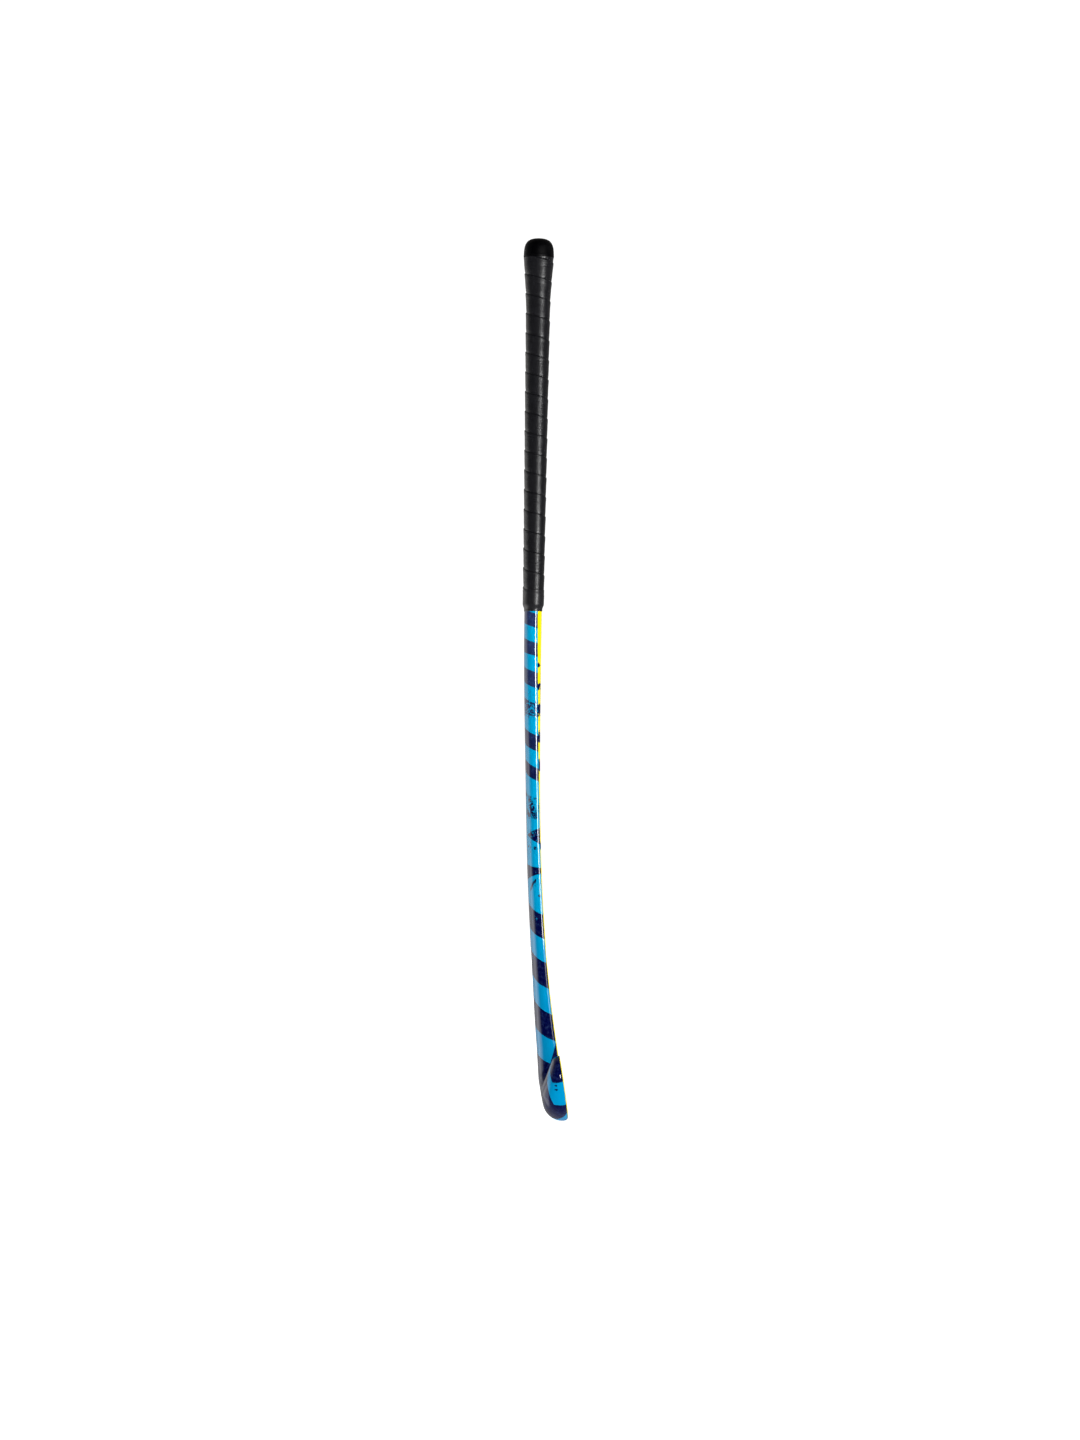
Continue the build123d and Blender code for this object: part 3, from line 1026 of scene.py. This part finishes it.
def grip_paint():
    """Satin black polyurethane with creases across the wound strip and fine pores."""
    paint = Paint("grip_polyurethane")
    along = paint.attribute("along")
    width = paint.attribute("width")

    def drawn_out(along_scale, width_scale, detail, distortion):
        """Noise that is finer across the strip than along it."""
        at = paint.vector(paint.times(along, along_scale), paint.times(width, width_scale), 0.0)
        return paint.noise(1.0, detail, 0.6, at=at, distortion=distortion)

    streaks = drawn_out(0.09, 0.85, 4.0, 0.9)
    wrinkles = drawn_out(0.35, 2.4, 3.0, 0.6)
    pores = paint.voronoi(1600.0)
    low = paint.bump(streaks, 0.0005, 0.5)
    middle = paint.bump(wrinkles, 0.0001, 0.4, normal=low)
    fine = paint.bump(pores, 0.00001, 0.4, normal=middle)
    tone = paint.noise(70.0, 4.0, 0.6)
    colour = paint.mix(tone, srgb(11, 11, 13), srgb(24, 24, 27))
    rough = paint.between(streaks, 0.3, 0.7, 0.27, 0.38)
    return paint.finish(
        Base_Color=colour, Roughness=rough, Normal=fine, IOR=1.5, Specular_IOR_Level=0.38
    )


def tape_paint():
    """Smooth black vinyl with small folds."""
    paint = Paint("tape_vinyl")
    folds = paint.noise(120.0, 3.0, 0.5, distortion=0.5)
    stipple = paint.noise(1400.0, 2.0, 0.5)
    normal = paint.bump(stipple, 0.00002, 0.5, normal=paint.bump(folds, 0.0003, 0.4))
    colour = paint.mix(paint.noise(90.0, 3.0), srgb(17, 17, 19), srgb(27, 27, 30))
    rough = paint.between(folds, 0.3, 0.7, 0.3, 0.45)
    return paint.finish(Base_Color=colour, Roughness=rough, Normal=normal, IOR=1.5)


def cap_paint():
    """Matt black rubber, a little scuffed."""
    paint = Paint("cap_rubber")
    stipple = paint.noise(2200.0, 3.0, 0.6)
    pale_share = paint.noise(60.0, 5.0, 0.65)
    normal = paint.bump(stipple, 0.00003, 0.6)
    colour = paint.mix(paint.between(pale_share, 0.45, 0.8), srgb(1, 1, 2), srgb(7, 7, 8))
    rough = paint.between(pale_share, 0.3, 0.7, 0.42, 0.58)
    return paint.finish(
        Base_Color=colour, Roughness=rough, Normal=normal, IOR=1.45, Specular_IOR_Level=0.14
    )


def weave_paint(name, dark, light, pitch, roughness):
    """Crossed tows of a woven or braided ply in resin."""
    paint = Paint(name)
    place = paint.node("SeparateXYZ")
    paint.feed(place.inputs[0], paint.place())
    up = paint.times(place.outputs[2], tau / pitch)
    aside = paint.times(paint.math("ADD", place.outputs[0], place.outputs[1]), tau / pitch)
    first = paint.math("SINE", paint.math("ADD", up, aside))
    second = paint.math("SINE", paint.math("SUBTRACT", up, aside))
    tows = paint.math("MULTIPLY_ADD", paint.times(first, second), 0.5, 0.5)
    grain = paint.noise(900.0, 3.0, 0.6)
    colour = paint.mix(paint.times(tows, grain), dark, light)
    rough = paint.between(grain, 0.2, 0.8, roughness, roughness + 0.15)
    return paint.finish(Base_Color=colour, Roughness=rough, Normal=paint.bump(tows, 0.0001, 0.5))


def foam_paint(name, dark, light, cells):
    """Closed-cell foam: pale, matt and finely pitted."""
    paint = Paint(name)
    pits = paint.voronoi(cells)
    cloud = paint.noise(80.0, 3.0, 0.5)
    colour = paint.mix(cloud, dark, light)
    rough = paint.between(pits, 0.0, 0.6, 0.95, 0.75)
    return paint.finish(Base_Color=colour, Roughness=rough, Normal=paint.bump(pits, 0.0002, 0.6))


def plug_paint():
    """Grey moulded plastic."""
    paint = Paint("plug_plastic")
    grain = paint.noise(800.0, 3.0, 0.6)
    colour = paint.mix(paint.noise(90.0), srgb(98, 99, 102), srgb(118, 119, 122))
    rough = paint.between(grain, 0.3, 0.7, 0.4, 0.55)
    return paint.finish(Base_Color=colour, Roughness=rough, Normal=paint.bump(grain, 0.00003, 0.4))


def dress(piece, material):
    """Gives a piece this material and no other."""
    piece.data.materials.clear()
    piece.data.materials.append(material)


def dress_inner_nodes():
    """Materials of the CAD pieces that stay as they are, inside the stick."""
    braid = weave_paint("braid_carbon", srgb(14, 14, 16), srgb(70, 70, 76), 0.004, 0.3)
    carbon = weave_paint("sleeve_carbon", srgb(10, 10, 12), srgb(50, 50, 55), 0.003, 0.32)
    aramid = weave_paint("sleeve_aramid", srgb(170, 128, 40), srgb(226, 188, 84), 0.004, 0.4)
    core = foam_paint("core_foam", srgb(214, 200, 160), srgb(232, 220, 184), 900.0)
    handle = foam_paint("handle_foam_cells", srgb(206, 188, 140), srgb(226, 210, 166), 1200.0)
    underlay = foam_paint("underlay_strip", srgb(190, 186, 174), srgb(210, 206, 196), 1600.0)
    finishes = {
        "shaft_carbon_sleeve": carbon,
        "head_aramid_sleeve": aramid,
        "toe_side_tube": braid,
        "heel_side_tube": braid,
        "head_core": core,
        "handle_foam": handle,
        "grip_underlay": underlay,
        "butt_plug": plug_paint(),
    }
    for node, material in finishes.items():
        dress(NODES[node], material)


# ---- stage: floor, lights and camera ----


EYE = (BUTT_TOP - 508.3) * MM  # height of the camera
CAMERA_AWAY = 3.5
CAMERA_ASIDE = 0.0092
TURN = radians(2.0)  # how far the view is turned towards the back of the stick
ROLL = radians(-0.93)
LENS = 82.85  # mm, as the sensor's width and height are
SENSOR = (27.0, 36.0)

FLOOR_REACH = 40.0
WHITE = (1.0, 1.0, 1.0, 1.0)
WARM_WHITE = (1.0, 0.985, 0.96, 1.0)
COVE_BRIGHTNESS = 1.1

# The white parts of the cove that reflections see: the direction, how near to it the white
# starts and is full (the cosine of the angle), and the brightness. The first is behind the
# stick to its left, the second broadly behind it, and the third lower down to the left.
GLOWS = [
    ((-0.66, 0.75, 0.0), 0.87, 0.98, 0.5),
    ((0.0, 1.0, 0.0), -0.2, 0.6, 0.28),
    ((-0.8, 0.47, -0.37), 0.9, 0.97, 1.1),
]

# Softboxes: name, degrees from the front towards +X, distance, height over the eye, width,
# height, power, and whether reflections see it
LIGHTS = [
    ("strip_right", 25, 2.2, 0.04, 0.3, 0.62, 30, True),
    ("halo_right", 27, 2.25, -0.08, 0.8, 0.66, 11, True),
    ("fill_left", -50, 2.6, 0.3, 1.4, 1.8, 12, False),
    ("fill_front", 10, 2.6, -0.1, 1.0, 1.6, 12, False),
    ("fill_right", 85, 2.6, 0.3, 1.4, 1.8, 9, False),
    ("fill_back", 180, 2.6, 0.5, 1.4, 1.8, 26, False),
]


def make_floor():
    """A wide pale floor that the stick stands on."""
    mesh = bpy.data.meshes.new("floor")
    level = CAD_BOX[0][2]
    signs = ((-1, -1), (1, -1), (1, 1), (-1, 1))
    corners = [(x * FLOOR_REACH, y * FLOOR_REACH, level) for x, y in signs]
    mesh.from_pydata(corners, [], [(0, 1, 2, 3)])
    floor = bpy.data.objects.new("floor", mesh)
    bpy.context.scene.collection.objects.link(floor)
    paint = Paint("floor_white")
    paint.finish(Base_Color=(0.9, 0.9, 0.9, 1.0), Roughness=0.9)
    paint.finish(Emission_Color=WHITE, Emission_Strength=1.0)
    dress(floor, paint.material)
    floor.visible_glossy = False
    floor.visible_shadow = False


def make_world():
    """A white cove to the eye. Reflections see it dark, apart from the parts in GLOWS."""
    world = bpy.data.worlds.new("studio")
    bpy.context.scene.world = world
    world.use_nodes = True
    tree = world.node_tree
    tree.nodes.clear()

    def node(kind):
        return tree.nodes.new("ShaderNode" + kind)

    def glow(towards, start, end, strength):
        """Brightness that grows from start to end as a direction nears this one."""
        nearness = node("VectorMath")
        nearness.operation = "DOT_PRODUCT"
        nearness.inputs[1].default_value = towards
        tree.links.new(node("TexCoord").outputs["Generated"], nearness.inputs[0])
        level = node("MapRange")
        level.interpolation_type = "SMOOTHSTEP"
        for socket, number in zip(list(level.inputs)[1:5], (start, end, 0.0, strength)):
            socket.default_value = number
        tree.links.new(nearness.outputs["Value"], level.inputs[0])
        return level.outputs[0]

    def plus(first, second):
        total = node("Math")
        total.operation = "ADD"
        tree.links.new(first, total.inputs[0])
        tree.links.new(second, total.inputs[1])
        return total.outputs[0]

    total = reduce(plus, (glow(*part) for part in GLOWS))
    studio = node("Background")
    studio.inputs[0].default_value = WARM_WHITE
    tree.links.new(total, studio.inputs[1])
    seen = node("Background")
    seen.inputs[0].default_value = WHITE
    seen.inputs[1].default_value = COVE_BRIGHTNESS
    choose = node("MixShader")
    tree.links.new(node("LightPath").outputs["Is Camera Ray"], choose.inputs[0])
    tree.links.new(studio.outputs[0], choose.inputs[1])
    tree.links.new(seen.outputs[0], choose.inputs[2])
    tree.links.new(choose.outputs[0], node("OutputWorld").inputs[0])


def area_light(name, angle, distance, lift, width, height, power, mirrored):
    """A softbox that faces the stick. Where mirrored is false it lights without being reflected."""
    data = bpy.data.lights.new(name, "AREA")
    data.shape = "RECTANGLE"
    data.size = width
    data.size_y = height
    data.energy = power
    lamp = bpy.data.objects.new(name, data)
    turn = radians(angle)
    place = Vector((distance * sin(turn), -distance * cos(turn), EYE + lift))
    lamp.location = place
    target = Vector((0.0, 0.0, place.z))
    lamp.rotation_euler = (target - place).to_track_quat("-Z", "Y").to_euler()
    lamp.visible_glossy = mirrored
    bpy.context.scene.collection.objects.link(lamp)


def make_camera():
    """A level camera, a little below the stick's middle, that sees it nearly edge on."""
    data = bpy.data.cameras.new("camera")
    data.sensor_fit = "VERTICAL"
    data.sensor_width, data.sensor_height = SENSOR
    data.lens = LENS
    data.clip_end = 200.0
    camera = bpy.data.objects.new("camera", data)
    camera.location = (CAMERA_ASIDE - CAMERA_AWAY * sin(TURN), -CAMERA_AWAY * cos(TURN), EYE)
    camera.rotation_euler = (radians(90.0), ROLL, -TURN)
    bpy.context.scene.collection.objects.link(camera)
    bpy.context.scene.camera = camera


def main():
    back = painted_skin("back_skin", "back_decal", BACK_COLUMNS, face_side=False)
    dress(back, back_paint())
    face = painted_skin("face_skin", "face_decal", FACE_COLUMNS, face_side=True)
    dress(face, face_paint())
    shell = laminate_shell()
    dress(shell, weave_paint("laminate_carbon", srgb(12, 12, 14), srgb(58, 58, 62), 0.006, 0.28))
    dress(make_grip(), grip_paint())
    dress(make_tape(), tape_paint())
    dress(make_cap(), cap_paint())
    dress_inner_nodes()
    make_floor()
    make_world()
    for light in LIGHTS:
        area_light(*light)
    make_camera()
    bpy.context.scene.view_settings.view_transform = "Standard"


main()
